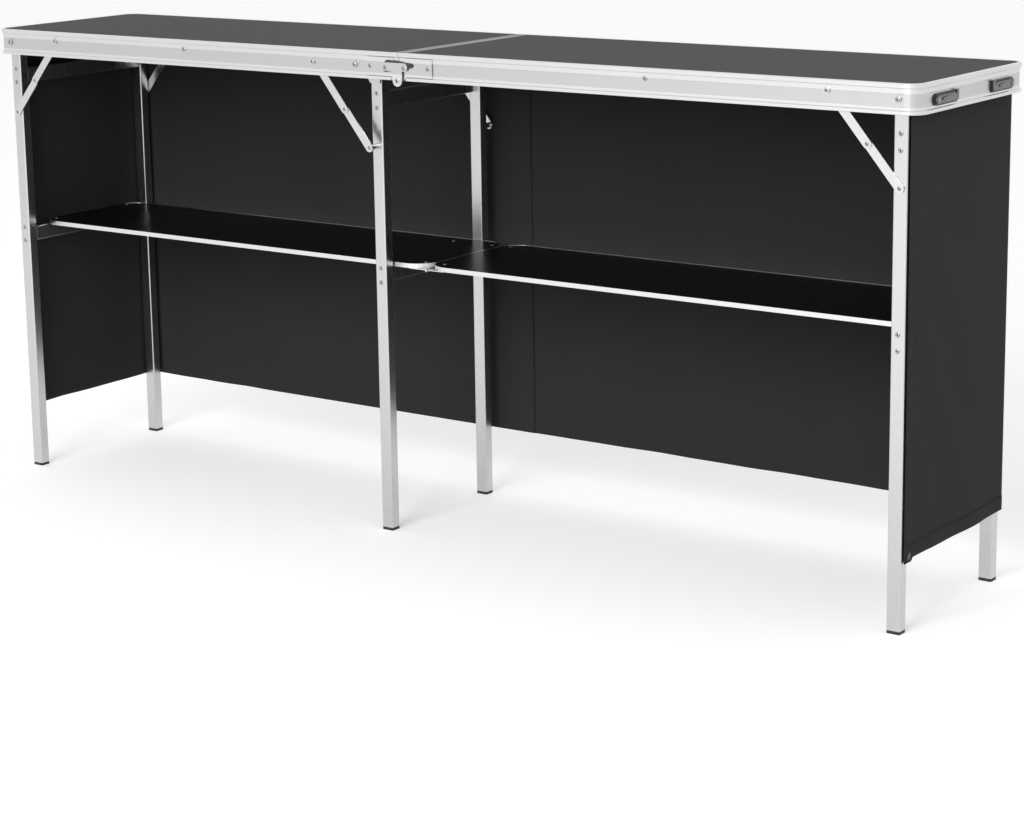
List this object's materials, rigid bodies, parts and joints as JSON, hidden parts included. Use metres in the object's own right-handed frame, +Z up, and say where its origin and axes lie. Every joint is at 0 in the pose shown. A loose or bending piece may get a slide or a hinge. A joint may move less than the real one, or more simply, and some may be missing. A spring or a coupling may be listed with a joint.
{
  "type": "folding portable bar",
  "caption": "Folding portable bar: hinged counter top in an aluminium rim on folding braced legs, with a folding lower shelf and a dark cloth skirt round the guest side.",
  "frame": {"origin": "floor under the centre of the top, at the seam", "axes": "+X along the bar to the server's right, +Y from the server to the guests, +Z up"},
  "size_m": [2.0062, 0.39, 0.878],
  "materials": {
    "rim_aluminium": "satin bright",
    "leg_aluminium": "satin",
    "plated_steel": "plated",
    "dark_steel": "dark satin",
    "top_board": "matt laminate",
    "shelf_board": "semi-gloss",
    "cap_plastic": "matt",
    "cloth": "plain woven"
  },
  "bodies": {
    "left_half": {"rim_left": "rim_aluminium", "top_panel_left": "top_board", "seam_rail_left": "rim_aluminium", "skirt_left": "cloth", "hinge_leaf_left_front": "rim_aluminium", "hinge_leaf_left_back": "rim_aluminium", "latch_keeper_front": "dark_steel", "latch_keeper_back": "dark_steel"},
    "right_half": {"rim_right": "rim_aluminium", "top_panel_right": "top_board", "seam_rail_right": "rim_aluminium", "skirt_right_back": "cloth", "skirt_header_right": "dark_steel", "hinge_leaf_right_front": "rim_aluminium", "hinge_leaf_right_back": "rim_aluminium", "latch_base_front": "dark_steel", "latch_base_back": "dark_steel"},
    "right_end_skirt": {"skirt_right_end": "cloth"},
    "lock_front": {"hinge_lock_front": "dark_steel"},
    "latch_front": {"latch_hook_front": "dark_steel"},
    "lock_back": {"hinge_lock_back": "dark_steel"},
    "latch_back": {"latch_hook_back": "dark_steel"},
    "left_legs": {"leg_left_front": "leg_aluminium", "leg_left_back": "leg_aluminium", "foot_cap_left_front": "cap_plastic", "foot_cap_left_back": "cap_plastic", "crossbar_upper_left": "leg_aluminium", "crossbar_shelf_left": "leg_aluminium"},
    "left_upper_stays": {"stay_upper_left_front": "plated_steel", "stay_upper_left_back": "plated_steel"},
    "left_lower_stays": {"stay_lower_left_front": "plated_steel", "stay_lower_left_back": "plated_steel"},
    "centre_legs": {"leg_centre_front": "leg_aluminium", "leg_centre_back": "leg_aluminium", "foot_cap_centre_front": "cap_plastic", "foot_cap_centre_back": "cap_plastic", "crossbar_upper_centre": "leg_aluminium", "crossbar_shelf_centre": "leg_aluminium"},
    "centre_upper_stays": {"stay_upper_centre_front": "plated_steel", "stay_upper_centre_back": "plated_steel"},
    "centre_lower_stays": {"stay_lower_centre_front": "plated_steel", "stay_lower_centre_back": "plated_steel"},
    "right_legs": {"leg_right_front": "leg_aluminium", "leg_right_back": "leg_aluminium", "foot_cap_right_front": "cap_plastic", "foot_cap_right_back": "cap_plastic", "crossbar_upper_right": "leg_aluminium", "crossbar_shelf_right": "leg_aluminium"},
    "right_upper_stays": {"stay_upper_right_front": "plated_steel", "stay_upper_right_back": "plated_steel"},
    "right_lower_stays": {"stay_lower_right_front": "plated_steel", "stay_lower_right_back": "plated_steel"},
    "shelf_left": {"shelf_board_left": "shelf_board", "shelf_edging_left": "rim_aluminium", "shelf_hinge_left_front": "plated_steel", "shelf_hinge_left_back": "plated_steel"},
    "shelf_right": {"shelf_board_right": "shelf_board", "shelf_edging_right": "rim_aluminium", "shelf_hinge_right_front": "plated_steel", "shelf_hinge_right_back": "plated_steel"}
  },
  "joints": [
    {"name": "half_fold", "type": "hinge", "parent": "left_half", "child": "right_half", "pos_m": [0, 0, 0.83], "axis": [0, 1, 0], "range_deg": [0, 45]},
    {"name": "left_legs_fold", "type": "hinge", "parent": "left_half", "child": "left_legs", "pos_m": [-0.9624, 0, 0.8534], "axis": [0, -1, 0], "range_deg": [0, 78]},
    {"name": "centre_legs_fold", "type": "hinge", "parent": "left_half", "child": "centre_legs", "pos_m": [-0.0987, 0, 0.8534], "axis": [0, 1, 0], "range_deg": [0, 78]},
    {"name": "right_legs_fold", "type": "hinge", "parent": "right_half", "child": "right_legs", "pos_m": [0.9624, 0, 0.8534], "axis": [0, 1, 0], "range_deg": [0, 78]},
    {"name": "left_upper_stay", "type": "hinge", "parent": "left_half", "child": "left_upper_stays", "pos_m": [-0.8397, 0, 0.8606], "axis": [0, -1, 0], "range_deg": [0, 109.75]},
    {"name": "left_lower_stay", "type": "hinge", "parent": "left_legs", "child": "left_lower_stays", "pos_m": [-0.9624, 0, 0.7155], "axis": [0, 1, 0], "range_deg": [0, 128.21]},
    {"name": "centre_upper_stay", "type": "hinge", "parent": "left_half", "child": "centre_upper_stays", "pos_m": [-0.1954, 0, 0.8534], "axis": [0, 1, 0], "range_deg": [0, 132.32]},
    {"name": "centre_lower_stay", "type": "hinge", "parent": "centre_legs", "child": "centre_lower_stays", "pos_m": [-0.0783, 0, 0.706], "axis": [0, -1, 0], "range_deg": [0, 86.14]},
    {"name": "right_upper_stay", "type": "hinge", "parent": "right_half", "child": "right_upper_stays", "pos_m": [0.8397, 0, 0.8606], "axis": [0, 1, 0], "range_deg": [0, 109.75]},
    {"name": "right_lower_stay", "type": "hinge", "parent": "right_legs", "child": "right_lower_stays", "pos_m": [0.9624, 0, 0.7155], "axis": [0, -1, 0], "range_deg": [0, 128.21]},
    {"name": "shelf_lift", "type": "slide", "parent": "left_half", "child": "shelf_left", "axis": [0, 0, 1], "range_m": [0, 0.3026]},
    {"name": "shelf_right_fold", "type": "hinge", "parent": "shelf_left", "child": "shelf_right", "pos_m": [0.002, 0, 0.485], "axis": [0, 1, 0], "range_deg": [0, 45]},
    {"name": "end_skirt_hang", "type": "hinge", "parent": "right_half", "child": "right_end_skirt", "pos_m": [0.9773, 0, 0.833], "axis": [0, -1, 0], "range_deg": [0, 45]},
    {"name": "lock_front_turn", "type": "hinge", "parent": "left_half", "child": "lock_front", "pos_m": [-0.0265, -0.191, 0.8522], "axis": [0, -1, 0], "range_deg": [0, 35]},
    {"name": "lock_back_turn", "type": "hinge", "parent": "left_half", "child": "lock_back", "pos_m": [-0.0265, 0.191, 0.8522], "axis": [0, -1, 0], "range_deg": [0, 35]},
    {"name": "latch_front_turn", "type": "hinge", "parent": "right_half", "child": "latch_front", "pos_m": [1, -0.131, 0.849], "axis": [1, 0, 0], "range_deg": [-90, 0]},
    {"name": "latch_back_turn", "type": "hinge", "parent": "right_half", "child": "latch_back", "pos_m": [1, 0.131, 0.849], "axis": [-1, 0, 0], "range_deg": [-90, 0]}
  ],
  "couplings": [
    {"joint": "centre_legs_fold", "follows": "left_legs_fold", "ratio": 1},
    {"joint": "right_legs_fold", "follows": "left_legs_fold", "ratio": 1},
    {"joint": "left_upper_stay", "follows": "left_legs_fold", "ratio": 1.4071},
    {"joint": "left_lower_stay", "follows": "left_legs_fold", "ratio": 1.6437},
    {"joint": "centre_upper_stay", "follows": "left_legs_fold", "ratio": 1.6964},
    {"joint": "centre_lower_stay", "follows": "left_legs_fold", "ratio": 1.1044},
    {"joint": "right_upper_stay", "follows": "left_legs_fold", "ratio": 1.4071},
    {"joint": "right_lower_stay", "follows": "left_legs_fold", "ratio": 1.6437},
    {"joint": "shelf_lift", "follows": "left_legs_fold", "m_per_rad": 0.2222},
    {"joint": "shelf_right_fold", "follows": "half_fold", "ratio": 1},
    {"joint": "end_skirt_hang", "follows": "half_fold", "ratio": 1}
  ]
}
